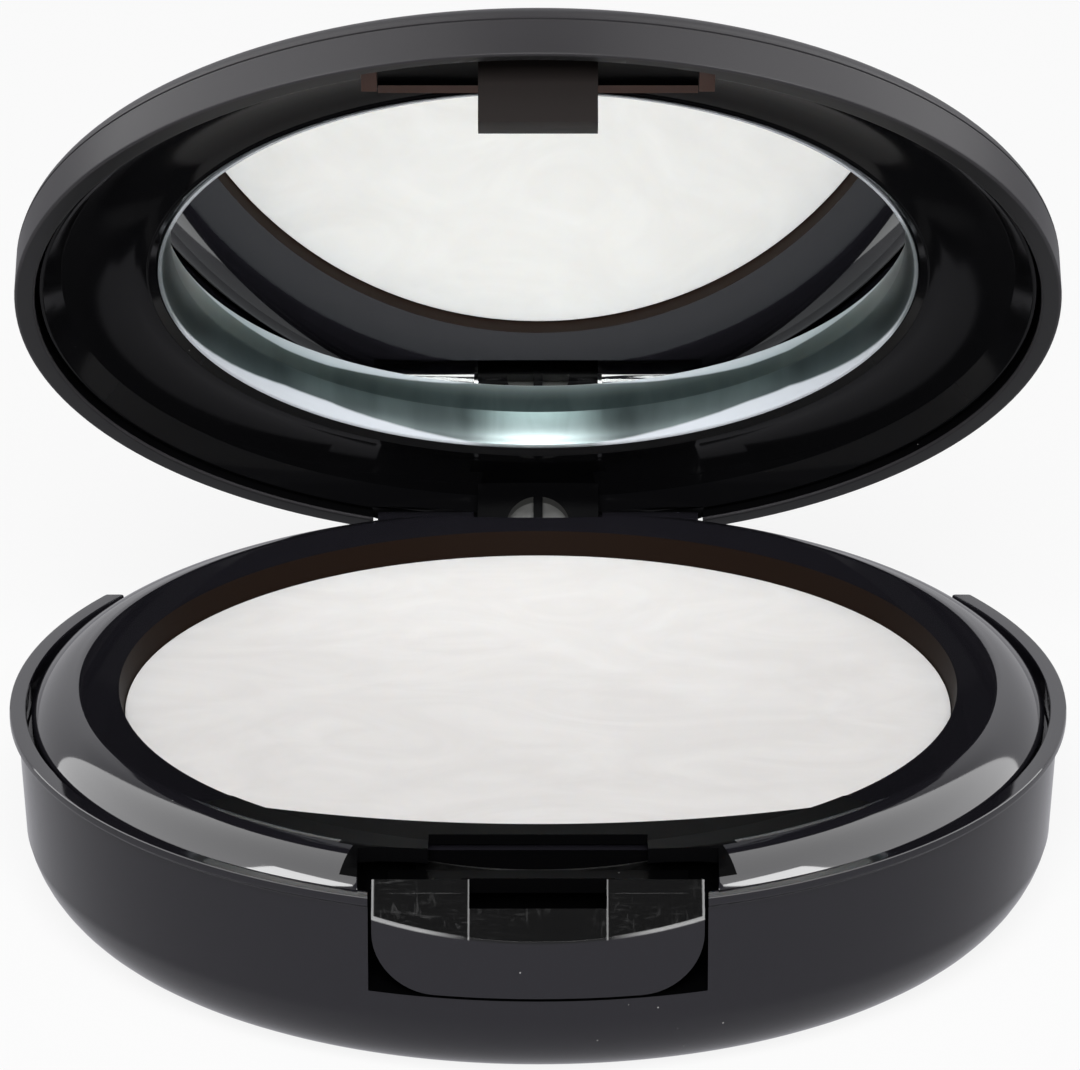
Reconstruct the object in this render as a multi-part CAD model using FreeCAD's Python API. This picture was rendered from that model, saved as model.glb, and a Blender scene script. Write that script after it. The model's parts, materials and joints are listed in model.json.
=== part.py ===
import FreeCAD, Part
import math
import os
from FreeCAD import Vector

# A round mirrored compact: a bowl with a sprung push button, a snapped-in holder with a cream
# pan, and a hinged lid with a mirror in a bright ring. Millimetres, +Z up, the hinge at the
# back (+Y), the button at the front (-Y). The origin is the centre of the foot. The lid is
# modelled shut and then swung open to the angle at which it stands at rest.

# Whole object
RIM_R = 38.5            # widest radius, at the bowl's lip
LIP_Z = 15.0            # height of the lip, where lid and bowl meet
OPEN_ANGLE = 47.5       # the lid's swing from shut at rest, degrees
GAP = 0.15              # slack between pieces that slot together

# Bowl
BOWL_WALL = 1.5
FOOT_R = 29.5
FLANK_MID_R = 34.9      # the flank's arc passes here between foot and wall
FLANK_MID_Z = 1.9
FLANK_R = 37.4          # where the flank's arc meets the wall
FLANK_Z = 6.0
SHOULDER_R = 37.9       # top of the wall, below the lip
SHOULDER_DROP = 1.0
LIP_EDGE = 0.6          # height of the lip's upright outer edge
LIP_WIDTH = 1.2
INNER_FLOOR_R = 28.9
INNER_MID_R = 33.6
INNER_MID_Z = 3.2
INNER_FLANK_Z = 6.6
LIP_DROP = 1.0          # the lip is this much lower round the hinge
LIP_DROP_HALF_ANGLE = 57.5
LEDGE_Z = LIP_Z - 2.4   # the holder's flange sits here
LEDGE_R = 35.6

# Hinge
HINGE_Y = 35.2
HINGE_Z = LIP_Z - 1.2
BARREL_R = 2.1
BARREL_CLEAR_R = 2.5
PIN_R = 0.75
PIN_BORE_R = 0.79
PIN_HALF = 11.9
PIN_CHAMFER = 0.2
LUG_INNER_X = 4.9
LUG_OUTER_X = 12.2
LID_BLOCK_HALF = 4.6
POCKET_HALF = 15.6
POCKET_FLOOR_Z = LIP_Z - 5.6
POCKET_WALL = 1.3
POCKET_FRONT_Y = 32.8
LUG_ARM_RISE = 1.0      # top of the knuckles' arms above the pin
LUG_ROOT = 0.2          # how deep the arms are let into the pocket's wall
LUG_CLEAR = 0.4         # room beside the knuckles

# Holder and pan
HOLDER_R = 36.9
GROOVE_Z = LIP_Z - 0.4
BEVEL_MID_R = 35.6
BEVEL_MID_Z = LIP_Z + 0.95
FLANGE_R = 35.9
FLANGE_THICK = 0.9
RING_UNDER_R = 31.6     # where the well's wall meets the ring's hollow underside
RING_UNDER_Z = LIP_Z - 0.1
RING_HOLLOW_R = 33.9
RING_HOLLOW_Z = LIP_Z + 0.55
CREST_R = 33.6
CREST_Z = LIP_Z + 1.7
INNER_EDGE_R = 30.6
LAND_R = INNER_EDGE_R - 2.5
LAND_Z = LIP_Z + 0.95   # the sloping land's height there, inside the well's edge
WELL_FLOOR_R = 29.4
WELL_FLOOR_Z = LIP_Z - 4.6
WELL_WALL = 1.2
FRONT_EDGE_Y = 25.2     # how far in front of the axis the flattened front of the well lies
FRONT_EDGE_R = 64.0     # the flattened front's own radius
CREAM_Z = LIP_Z - 0.5
PAD_THICK = 0.4
PAN_WALL = 0.35
PAN_DEPTH = 3.1
PAN_GAP = 0.3
PAD_INSET = 2.0
CREAM_GAP = 0.06

# Latch
BAY_HALF = 12.6
BAY_FRONT_Y = 31.6
CATCH_BAY_HALF = 7.7
CATCH_BAY_Y = 26.9
WINDOW_HALF = 11.85
WINDOW_Z = LIP_Z - 7.5
WINDOW_BACK_Y = 33.2
GUIDE_GAP = 0.3
GUIDE_WALL = 1.2
BUTTON_SIDE_GAP = 0.25
BUTTON_LOW_GAP = 0.2
BUTTON_CORNER_R = 4.3
BUTTON_BACK_Y = 33.3
LEDGE_SLOPE = 32.0      # fall of the button's top towards the front, degrees
LEDGE_FRONT_Z = LIP_Z - 3.1
LEDGE_FRONT_Y = 38.2
HOOK_NOTCH_HALF = 4.8
HOOK_NOTCH_FRONT_Y = 35.4
ARM_INNER_X = 5.4
ARM_OUTER_X = 10.5
ARM_ROOT = 1.0          # how deep the arms are let into the button's block
BAR_FRONT_Y = 31.7
BAR_BACK_Y = 30.2
BAR_TOP_Z = LIP_Z - 0.65
BAR_BOTTOM_Z = LIP_Z - 1.75
HOOK_HALF = 4.2
HOOK_FRONT_Y = 34.1
HOOK_BACK_Y = 32.9
HOOK_TIP_Z = LIP_Z - 2.9
BARB_TOP_Z = LIP_Z - 1.9
BARB_BACK_Y = 31.1
BARB_FACE = 0.3
HOOK_ROOT = 2.9         # the hook starts this far above the lid's rim
SPRING_THICK = 0.25
SPRING_HALF = 8.6
SPRING_FOOT = 0.35      # width of the spring's ends
SPRING_HEIGHT = 0.9
SPRING_TOUCH = 0.03
STOP_WALL_Y = 28.0
STOP_WALL_THICK = 1.0
STOP_WALL_TOP_Z = LIP_Z - 0.5

# Lid
LID_R = 38.3
LID_Z = LIP_Z + GAP
LID_WALL = 1.5
LID_SIDE = 3.0
LID_DRAFT = 0.1
LID_BEND_R = 37.65      # the shoulder's arc passes here
LID_BEND = 4.0
LID_EDGE_R = 36.4       # where the dome starts
LID_SHOULDER = 4.6      # height of the dome's edge above the lid's rim
LID_HEIGHT = 13.0
LID_SKIN = 1.0          # thickness of the dome
INNER_SIDE = 2.7
INNER_DOME_R = 35.6
INNER_SHOULDER = 3.8
RIM_CUT_HALF = 11.2     # half width of the relief inside the lid's front rim
RIM_CUT_Z = 2.0
RIM_CUT_Y = 34.1
RIM_SKIN = 0.8          # what the relief leaves of the rim

# Liner and mirror, heights above the lid's rim
FRAME_R = 36.5
FRAME_RIM = 0.75
FRAME_RIM_WIDTH = 0.3
DISH_STEP_R = 34.9
DISH_STEP = 2.1
DISH_MID_R = 31.8
DISH_MID = 2.72
RIDGE_R = 29.3
RIDGE = 2.65
BEZEL_R = 28.6
BEZEL_INNER_R = 27.95
BEZEL = 2.4
BEZEL_EDGE = 0.25
FRAME_THICK = 1.1
FRAME_FLOOR = 0.4
FRAME_BACK_R = 28.3
FRAME_WALL_R = 29.7
FRAME_DISH_BACK_R = 35.3
MIRROR_R = 27.7
MIRROR_DEPTH = 5.35
MIRROR_THICK = 0.8
MIRROR_BEVEL = 0.4
MIRROR_PAD_THICK = 0.2
MIRROR_PAD_INSET = 1.5
RING_INNER_R = 26.95
RING_OUTER_R = 27.85
RING_TOP = 2.75
RING_EDGE = 0.3
HINGE_ARM_FRONT = 1.9   # the hinge block's arm, in front of and behind the pin
HINGE_ARM_BACK = 1.0
HINGE_ARM_TOP = 2.6
RIB_INNER_X = 11.3      # two ribs at the ends of the relief
RIB_OUTER_X = 12.4
RIB_FRONT_Y = 34.3
RIB_BACK_Y = 32.4
RIB_LOW = 0.3
RIB_TOP = 2.6

AXIS = Vector(0, 0, 1)
ORIGIN = Vector(0, 0, 0)
HINGE_POINT = Vector(0, HINGE_Y, HINGE_Z)
FAR = 100.0


def point(r, z):
    return Vector(r, 0, z)


def line(a, b):
    return Part.LineSegment(a, b).toShape()


def arc(a, b, c):
    return Part.Arc(a, b, c).toShape()


def turned(edges):
    """A solid of revolution about the Z axis from the edges of a closed half section."""
    face = Part.Face(Part.Wire(edges))
    return face.revolve(ORIGIN, AXIS, 360)


def polyline(points):
    closed = points + [points[0]]
    return [line(a, b) for a, b in zip(closed, closed[1:])]


def box(x0, x1, y0, y1, z0, z1):
    return Part.makeBox(x1 - x0, y1 - y0, z1 - z0, Vector(x0, y0, z0))


def rod(radius, x0, x1, y=HINGE_Y, z=HINGE_Z):
    return Part.makeCylinder(radius, x1 - x0, Vector(x0, y, z), Vector(1, 0, 0))


def disc(radius, z0, z1):
    return Part.makeCylinder(radius, z1 - z0, Vector(0, 0, z0))


def both_sides(x0, x1, y0, y1, z0, z1):
    return box(x0, x1, y0, y1, z0, z1).fuse(box(-x1, -x0, y0, y1, z0, z1))


def flat_front_wire(shrink, z):
    """A circle with a flattened front, drawn in by shrink from the well's upper edge."""
    r = INNER_EDGE_R - shrink
    front_r = FRONT_EDGE_R - shrink
    front_y = FRONT_EDGE_Y - shrink
    centre_y = front_r - front_y
    corner_y = (r * r + centre_y * centre_y - front_r * front_r) / (-2 * centre_y)
    corner_x = math.sqrt(r * r - corner_y * corner_y)
    left = Vector(-corner_x, -abs(corner_y), z)
    right = Vector(corner_x, -abs(corner_y), z)
    back = arc(right, Vector(0, r, z), left)
    front = arc(left, Vector(0, -front_y, z), right)
    return Part.Wire([back, front])


def flat_front_block(shrink_low, z_low, shrink_high, z_high):
    wires = [flat_front_wire(shrink_low, z_low), flat_front_wire(shrink_high, z_high)]
    return Part.makeLoft(wires, True, True)


def swung(shape):
    """The shape turned from shut to the lid's rest angle about the hinge pin."""
    opened = shape.copy()
    opened.rotate(HINGE_POINT, Vector(1, 0, 0), -OPEN_ANGLE)
    return opened


def bowl_outside():
    """The bowl's full outer form: flat foot, round flank, upright wall and a sharp lip."""
    foot = point(FOOT_R, 0)
    flank = point(FLANK_R, FLANK_Z)
    shoulder = point(SHOULDER_R, LIP_Z - SHOULDER_DROP)
    lip_low = point(RIM_R, LIP_Z - LIP_EDGE)
    lip_top = point(RIM_R, LIP_Z)
    edges = [
        line(ORIGIN, foot),
        arc(foot, point(FLANK_MID_R, FLANK_MID_Z), flank),
        line(flank, shoulder),
        line(shoulder, lip_low),
        line(lip_low, lip_top),
        line(lip_top, point(0, LIP_Z)),
        line(point(0, LIP_Z), ORIGIN),
    ]
    return turned(edges)


def bowl_inside():
    """The hollow of the bowl, stepped in below the holder's flange."""
    floor = point(INNER_FLOOR_R, BOWL_WALL)
    flank = point(LEDGE_R, INNER_FLANK_Z)
    ledge_in = point(LEDGE_R, LEDGE_Z)
    ledge_out = point(RIM_R - LIP_WIDTH, LEDGE_Z)
    mouth = point(RIM_R - LIP_WIDTH, LIP_Z)
    edges = [
        line(point(0, BOWL_WALL), floor),
        arc(floor, point(INNER_MID_R, INNER_MID_Z), flank),
        line(flank, ledge_in),
        line(ledge_in, ledge_out),
        line(ledge_out, mouth),
        line(mouth, point(0, LIP_Z)),
        line(point(0, LIP_Z), point(0, BOWL_WALL)),
    ]
    return turned(edges)


def lowered_lip():
    """The ring cut off the lip round the hinge, so that the lid's back edge can swing."""
    half = math.radians(LIP_DROP_HALF_ANGLE)
    ring = disc(FAR, LIP_Z - LIP_DROP, FAR).cut(disc(LEDGE_R, 0, FAR))
    return ring.common(box(-FAR, FAR, RIM_R * math.cos(half), FAR, 0, FAR))


def hinge_lugs():
    """Two knuckles for the pin, each on an arm from the pocket's front wall."""
    lugs = []
    for side in (-1, 1):
        x0 = LUG_INNER_X if side > 0 else -LUG_OUTER_X
        x1 = LUG_OUTER_X if side > 0 else -LUG_INNER_X
        barrel = rod(BARREL_R, x0, x1)
        arm = box(x0, x1, POCKET_FRONT_Y - LUG_ROOT, HINGE_Y, HINGE_Z - BARREL_R, HINGE_Z + LUG_ARM_RISE)
        lugs.append(barrel.fuse(arm))
    return lugs


def base_bowl():
    outside = bowl_outside()
    bowl = outside.cut(bowl_inside())
    room = outside.common(disc(RIM_R - LIP_WIDTH, 0, LIP_Z - LIP_DROP))
    hinge_wall = box(
        -POCKET_HALF - POCKET_WALL, POCKET_HALF + POCKET_WALL,
        POCKET_FRONT_Y - POCKET_WALL, RIM_R,
        POCKET_FLOOR_Z - POCKET_WALL, LIP_Z - LIP_DROP,
    )
    guide_top = LEDGE_Z - GAP
    guide_x = WINDOW_HALF + GUIDE_GAP
    guide_outer_x = guide_x + GUIDE_WALL
    guides = both_sides(guide_x, guide_outer_x, -RIM_R, -STOP_WALL_Y, BOWL_WALL / 2, guide_top)
    stop_wall = box(
        -guide_outer_x, guide_outer_x,
        -STOP_WALL_Y, -STOP_WALL_Y + STOP_WALL_THICK, BOWL_WALL / 2, STOP_WALL_TOP_Z,
    )
    sill = box(-guide_x, guide_x, -RIM_R, -STOP_WALL_Y, WINDOW_Z - GUIDE_WALL, WINDOW_Z)
    bowl = bowl.fuse([hinge_wall.common(room), guides.common(room), stop_wall, sill.common(room)])
    pocket = box(-POCKET_HALF, POCKET_HALF, POCKET_FRONT_Y, FAR, POCKET_FLOOR_Z, FAR)
    window = box(-WINDOW_HALF, WINDOW_HALF, -FAR, -WINDOW_BACK_Y, WINDOW_Z, FAR)
    bowl = bowl.cut([lowered_lip(), pocket, window])
    bowl = bowl.fuse(hinge_lugs())
    bowl = bowl.cut(rod(PIN_BORE_R, -PIN_HALF - GAP, PIN_HALF + GAP))
    return bowl.removeSplitter()


def holder_section():
    """Half section of the holder: a rounded ring on a flange, with the well's wall and floor."""
    floor_z = WELL_FLOOR_Z - WELL_WALL
    wall_foot = point(WELL_FLOOR_R + WELL_WALL, floor_z)
    wall_top = point(RING_UNDER_R, RING_UNDER_Z)
    flange_top = point(FLANGE_R, LEDGE_Z + FLANGE_THICK)
    flange_in = point(FLANGE_R, LEDGE_Z)
    flange_out = point(HOLDER_R, LEDGE_Z)
    groove = point(HOLDER_R, GROOVE_Z)
    crest = point(CREST_R, CREST_Z)
    land = point(LAND_R, LAND_Z)
    edges = [
        line(point(0, floor_z), wall_foot),
        line(wall_foot, wall_top),
        arc(wall_top, point(RING_HOLLOW_R, RING_HOLLOW_Z), flange_top),
        line(flange_top, flange_in),
        line(flange_in, flange_out),
        line(flange_out, groove),
        arc(groove, point(BEVEL_MID_R, BEVEL_MID_Z), crest),
        line(crest, land),
        line(land, point(0, LAND_Z)),
        line(point(0, LAND_Z), point(0, floor_z)),
    ]
    return edges


def pan_tray():
    ring = turned(holder_section())
    well = flat_front_block(INNER_EDGE_R - WELL_FLOOR_R, WELL_FLOOR_Z, 0, CREST_Z)
    low_front = box(-FAR, FAR, -FAR, -FRONT_EDGE_Y - WELL_WALL, 0, RING_UNDER_Z)
    inner_drum = disc(CREST_R - 0.5, 0, RING_UNDER_Z)
    ring = ring.cut([well, low_front.common(inner_drum)])
    bay = box(-BAY_HALF, BAY_HALF, -FAR, -BAY_FRONT_Y, 0, FAR)
    catch_bay = box(-CATCH_BAY_HALF, CATCH_BAY_HALF, -FAR, -CATCH_BAY_Y, 0, FAR)
    room_x = LUG_OUTER_X + LUG_CLEAR
    hinge_room = box(-room_x, room_x, POCKET_FRONT_Y - LUG_ROOT, FAR, 0, FAR)
    wall_room = box(
        -POCKET_HALF - POCKET_WALL - GAP, POCKET_HALF + POCKET_WALL + GAP,
        POCKET_FRONT_Y - POCKET_WALL - GAP, FAR, 0, LIP_Z - LIP_DROP + GAP,
    )
    ring = ring.cut([bay, catch_bay, hinge_room, wall_room])
    return ring.removeSplitter()


def well_shrink(z):
    """How far the tapered well has drawn in at a height."""
    share = (CREST_Z - z) / (CREST_Z - WELL_FLOOR_Z)
    return share * (INNER_EDGE_R - WELL_FLOOR_R)


def pan_pad():
    shrink = well_shrink(WELL_FLOOR_Z) + PAD_INSET
    return flat_front_block(shrink, WELL_FLOOR_Z, shrink, WELL_FLOOR_Z + PAD_THICK)


def cream_pan():
    low = WELL_FLOOR_Z + PAD_THICK
    high = low + PAN_DEPTH
    outer_shrink = well_shrink(low) + PAN_GAP
    outer = flat_front_block(outer_shrink, low, outer_shrink, high)
    inner_shrink = outer_shrink + PAN_WALL
    inner = flat_front_block(inner_shrink, low + PAN_WALL, inner_shrink, CREST_Z)
    return outer.cut(inner)


def cream_fill():
    """The cast cream: it fills the pan and brims over its edge to the wall of the well."""
    low = WELL_FLOOR_Z + PAD_THICK + PAN_WALL
    high = WELL_FLOOR_Z + PAD_THICK + PAN_DEPTH
    inner_shrink = well_shrink(WELL_FLOOR_Z + PAD_THICK) + PAN_GAP + PAN_WALL
    core = flat_front_block(inner_shrink, low, inner_shrink, high)
    cap = flat_front_block(well_shrink(high) + CREAM_GAP, high, well_shrink(CREAM_Z) + CREAM_GAP, CREAM_Z)
    return core.fuse(cap).removeSplitter()


def push_button():
    """A block flush with the bowl's flank, with a sloping top, and a catch bar on two arms."""
    half = WINDOW_HALF - BUTTON_SIDE_GAP
    low = WINDOW_Z + BUTTON_LOW_GAP
    high = LIP_Z + GAP
    front = box(-half, half, -FAR / 2, -BUTTON_BACK_Y, low, high)
    corners = [e for e in front.Edges if is_lower_corner(e, low)]
    front = front.makeFillet(BUTTON_CORNER_R, corners)
    front = front.common(bowl_outside())
    slope_top = Vector(0, -LEDGE_FRONT_Y, LEDGE_FRONT_Z)
    above = Part.makeBox(FAR, FAR, FAR, Vector(-FAR / 2, -LEDGE_FRONT_Y - FAR / 2, LEDGE_FRONT_Z))
    above.rotate(slope_top, Vector(1, 0, 0), LEDGE_SLOPE)
    front = front.cut(above)
    notch = box(-HOOK_NOTCH_HALF, HOOK_NOTCH_HALF, -HOOK_NOTCH_FRONT_Y, 0, low, FAR)
    arm_root_y = BUTTON_BACK_Y + ARM_ROOT
    arms = both_sides(ARM_INNER_X, ARM_OUTER_X, -arm_root_y, -BAR_BACK_Y, BAR_BOTTOM_Z, BAR_TOP_Z)
    bar = box(-ARM_OUTER_X, ARM_OUTER_X, -BAR_FRONT_Y, -BAR_BACK_Y, BAR_BOTTOM_Z, BAR_TOP_Z)
    button = front.cut(notch).fuse([arms, bar])
    return button.removeSplitter()


def is_lower_corner(edge, low):
    """True for the two bottom edges of the button block that run front to back."""
    middle = edge.CenterOfMass
    runs_along_y = abs(edge.Vertexes[0].Y - edge.Vertexes[-1].Y) > 1
    return runs_along_y and abs(middle.z - low) < 0.01


def button_spring():
    """A bowed leaf between the stop wall and the catch bar."""
    z0 = BAR_BOTTOM_Z + (BAR_TOP_Z - BAR_BOTTOM_Z - SPRING_HEIGHT) / 2
    seat = -STOP_WALL_Y - SPRING_TOUCH
    crown = -BAR_BACK_Y + SPRING_TOUCH
    outer = arc(Vector(-SPRING_HALF, seat, z0), Vector(0, crown, z0), Vector(SPRING_HALF, seat, z0))
    inset = SPRING_HALF - SPRING_FOOT
    inner_crown = Vector(0, crown + SPRING_THICK, z0)
    inner = arc(Vector(inset, seat, z0), inner_crown, Vector(-inset, seat, z0))
    right = line(Vector(SPRING_HALF, seat, z0), Vector(inset, seat, z0))
    left = line(Vector(-inset, seat, z0), Vector(-SPRING_HALF, seat, z0))
    return Part.Face(Part.Wire([outer, right, inner, left])).extrude(Vector(0, 0, SPRING_HEIGHT))


def hinge_pin():
    pin = rod(PIN_R, -PIN_HALF, PIN_HALF)
    return pin.makeChamfer(PIN_CHAMFER, [e for e in pin.Edges if e.Curve.TypeId == "Part::GeomCircle"])


def dome_arc(edge, top):
    """The arc of a shallow dome, level where it meets the axis."""
    rise = top.z - edge.z
    radius = (edge.x * edge.x + rise * rise) / (2 * rise)
    half_r = edge.x / 2
    half_z = top.z - radius + math.sqrt(radius * radius - half_r * half_r)
    return arc(edge, point(half_r, half_z), top)


def lid_outside():
    rim = point(LID_R, LID_Z)
    side = point(LID_R - LID_DRAFT, LID_Z + LID_SIDE)
    dome_edge = point(LID_EDGE_R, LID_Z + LID_SHOULDER)
    top = point(0, LID_Z + LID_HEIGHT)
    edges = [
        line(point(0, LID_Z), rim),
        line(rim, side),
        arc(side, point(LID_BEND_R, LID_Z + LID_BEND), dome_edge),
        dome_arc(dome_edge, top),
        line(top, point(0, LID_Z)),
    ]
    return turned(edges)


def lid_inside():
    """The shell's hollow, parallel to its outside."""
    wall_low = point(LID_R - LID_WALL, LID_Z)
    wall_high = point(LID_R - LID_WALL, LID_Z + INNER_SIDE)
    dome_edge = point(INNER_DOME_R, LID_Z + INNER_SHOULDER)
    top = point(0, LID_Z + LID_HEIGHT - LID_SKIN)
    edges = [
        line(point(0, LID_Z), wall_low),
        line(wall_low, wall_high),
        line(wall_high, dome_edge),
        dome_arc(dome_edge, top),
        line(top, point(0, LID_Z)),
    ]
    return turned(edges)


def lug_room(shape):
    """The shape with a round channel for the knuckles on the bowl."""
    half = LUG_OUTER_X + LUG_CLEAR
    return shape.cut(rod(BARREL_CLEAR_R, -half, half))


def rim_relief():
    """The shallow relief behind the front rim, on either side of the hook."""
    span = box(-RIM_CUT_HALF, RIM_CUT_HALF, -FAR, -RIM_CUT_Y, 0, LID_Z + RIM_CUT_Z)
    return span.common(disc(LID_R - RIM_SKIN, 0, FAR))


def lid_shell():
    shell = lid_outside().cut(lid_inside())
    return lug_room(shell.cut(rim_relief())).removeSplitter()


def lid_point(r, height):
    """A point of a half section, its height taken from the lid's rim."""
    return point(r, LID_Z + height)


def frame_section():
    """Half section of the lid's liner: rim step, dished ring, bezel, wall and mirror seat."""
    seat = MIRROR_DEPTH + MIRROR_THICK + MIRROR_PAD_THICK
    back = seat + FRAME_FLOOR
    dish = lid_point(DISH_STEP_R, DISH_STEP)
    ridge = lid_point(RIDGE_R, RIDGE)
    corners = [
        lid_point(FRAME_R, FRAME_RIM), lid_point(FRAME_R - FRAME_RIM_WIDTH, FRAME_RIM), dish, ridge,
        lid_point(BEZEL_R, BEZEL + BEZEL_EDGE), lid_point(BEZEL_R, BEZEL),
        lid_point(BEZEL_INNER_R, BEZEL), lid_point(BEZEL_INNER_R, seat),
        lid_point(0, seat), lid_point(0, back), lid_point(FRAME_BACK_R, back),
        lid_point(FRAME_WALL_R, RIDGE + FRAME_THICK),
        lid_point(FRAME_DISH_BACK_R, DISH_STEP + FRAME_THICK), lid_point(FRAME_R, DISH_STEP),
    ]
    edges = polyline(corners)
    dish_edge = corners.index(dish)
    edges[dish_edge] = arc(dish, lid_point(DISH_MID_R, DISH_MID), ridge)
    return edges


def hook():
    """The catch: a flat tab with a barb on its back, ramped so that it pushes the bar aside."""
    root_z = LID_Z + HOOK_ROOT
    profile = [
        Vector(-HOOK_HALF, -HOOK_FRONT_Y, root_z),
        Vector(-HOOK_HALF, -HOOK_FRONT_Y, HOOK_TIP_Z),
        Vector(-HOOK_HALF, -HOOK_BACK_Y, HOOK_TIP_Z),
        Vector(-HOOK_HALF, -BARB_BACK_Y, BARB_TOP_Z - BARB_FACE),
        Vector(-HOOK_HALF, -BARB_BACK_Y, BARB_TOP_Z),
        Vector(-HOOK_HALF, -HOOK_BACK_Y, BARB_TOP_Z),
        Vector(-HOOK_HALF, -HOOK_BACK_Y, root_z),
    ]
    return Part.Face(Part.Wire(polyline(profile))).extrude(Vector(2 * HOOK_HALF, 0, 0))


def lid_frame():
    frame = turned(frame_section()).cut(rim_relief())
    frame = lug_room(frame)
    barrel = rod(BARREL_R, -LID_BLOCK_HALF, LID_BLOCK_HALF)
    arm = box(
        -LID_BLOCK_HALF, LID_BLOCK_HALF,
        HINGE_Y - HINGE_ARM_FRONT, HINGE_Y + HINGE_ARM_BACK, HINGE_Z, LID_Z + HINGE_ARM_TOP,
    )
    ribs = both_sides(
        RIB_INNER_X, RIB_OUTER_X, -RIB_FRONT_Y, -RIB_BACK_Y, LID_Z + RIB_LOW, LID_Z + RIB_TOP,
    )
    frame = frame.fuse([barrel, arm, hook(), ribs])
    frame = frame.cut(rod(PIN_BORE_R, -FAR, FAR))
    return frame.removeSplitter()


def mirror_pad():
    low = LID_Z + MIRROR_DEPTH + MIRROR_THICK
    return disc(MIRROR_R - MIRROR_PAD_INSET, low, low + MIRROR_PAD_THICK)


def mirror_glass():
    """A glass disc whose face is ground to a bevel all round."""
    edges = polyline([
        lid_point(0, MIRROR_DEPTH), lid_point(MIRROR_R - MIRROR_BEVEL, MIRROR_DEPTH),
        lid_point(MIRROR_R, MIRROR_DEPTH + MIRROR_BEVEL),
        lid_point(MIRROR_R, MIRROR_DEPTH + MIRROR_THICK), lid_point(0, MIRROR_DEPTH + MIRROR_THICK),
    ])
    return turned(edges)


def mirror_ring():
    """The bright ring that stands on the glass and keeps it in the liner."""
    edges = polyline([
        lid_point(RING_INNER_R, MIRROR_DEPTH), lid_point(RING_OUTER_R, MIRROR_DEPTH),
        lid_point(RING_OUTER_R, RING_TOP), lid_point(RING_INNER_R + RING_EDGE, RING_TOP),
        lid_point(RING_INNER_R, RING_TOP + RING_EDGE),
    ])
    return turned(edges)


FIXED_PIECES = {
    "base_bowl": base_bowl,
    "pan_tray": pan_tray,
    "pan_pad": pan_pad,
    "cream_pan": cream_pan,
    "cream_fill": cream_fill,
    "push_button": push_button,
    "button_spring": button_spring,
    "hinge_pin": hinge_pin,
}
LID_PIECES = {
    "lid_shell": lid_shell,
    "lid_frame": lid_frame,
    "mirror_pad": mirror_pad,
    "mirror_glass": mirror_glass,
    "mirror_ring": mirror_ring,
}


def main():
    os.makedirs("parts", exist_ok=True)
    shapes = {name: make() for name, make in FIXED_PIECES.items()}
    shapes.update({name: swung(make()) for name, make in LID_PIECES.items()})
    for name, shape in shapes.items():
        solid = shape.Solids[0] if len(shape.Solids) == 1 else shape
        print(name, "solids", len(shape.Solids), "valid", shape.isValid(), "mm3", round(shape.Volume, 1))
        solid.exportStep("parts/" + name + ".step")


main()
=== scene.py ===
# %% [markdown]
# A round black compact stands open: a bowl with a push button, a holder ring with a pan of
# white cream, and a lid with a round mirror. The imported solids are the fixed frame, and
# this lesson models a smooth, finished shell over each solid that shows.

# %% Load the frame
import bpy
import json
import math
from mathutils import Matrix, Vector


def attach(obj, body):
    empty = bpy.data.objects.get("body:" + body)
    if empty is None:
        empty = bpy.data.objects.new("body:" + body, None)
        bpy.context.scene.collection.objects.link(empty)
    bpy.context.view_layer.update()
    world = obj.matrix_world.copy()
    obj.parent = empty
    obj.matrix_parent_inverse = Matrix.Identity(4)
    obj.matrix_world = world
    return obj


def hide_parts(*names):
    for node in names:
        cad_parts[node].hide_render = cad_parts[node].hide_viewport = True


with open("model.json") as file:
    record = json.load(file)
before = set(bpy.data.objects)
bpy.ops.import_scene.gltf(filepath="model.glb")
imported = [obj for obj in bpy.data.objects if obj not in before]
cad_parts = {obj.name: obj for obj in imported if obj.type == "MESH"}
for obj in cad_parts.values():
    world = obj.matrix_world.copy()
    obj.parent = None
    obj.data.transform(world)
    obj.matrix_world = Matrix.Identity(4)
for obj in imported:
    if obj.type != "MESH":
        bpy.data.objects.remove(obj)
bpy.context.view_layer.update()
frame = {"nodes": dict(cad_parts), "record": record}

# %% [markdown]
# The sizes below are the object's own, in millimetres. Everything is modelled with the lid
# shut, because rings and bezels are then level, and the lid's pieces are swung open at the end
# about the hinge pin, whose place comes from the frame's joint.

# %% Sizes
MM = 0.001
LIP_Z = 15.0
RIM_R = 38.5
HINGE = next(j for j in frame["record"]["behaviour"]["joints"] if j["name"] == "lid_hinge")
HINGE_Y = HINGE["pos_m"][1] / MM
HINGE_Z = HINGE["pos_m"][2] / MM
OPEN_ANGLE = 47.5
LID_Z = LIP_Z + 0.15
LID_R = 38.3
TURNS = 192
print("hinge at", HINGE_Y, HINGE_Z, "mm")

# %% [markdown]
# An operator acts on all that is selected, so every step lets go of everything first and then
# takes hold of one piece.

# %% Taking hold of a piece
def deselect():
    if bpy.context.object and bpy.context.object.mode != "OBJECT":
        bpy.ops.object.mode_set(mode="OBJECT")
    bpy.ops.object.select_all(action="DESELECT")


def take(piece):
    deselect()
    piece.select_set(True)
    bpy.context.view_layer.objects.active = piece


# %% [markdown]
# Most of the case is turned work, and its half sections have round stretches and soft corners.
# These could be placed point by point. Here a circle through three points and a rounded corner
# are worked out instead, so a section needs only the corners that a drawing would give.

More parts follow.
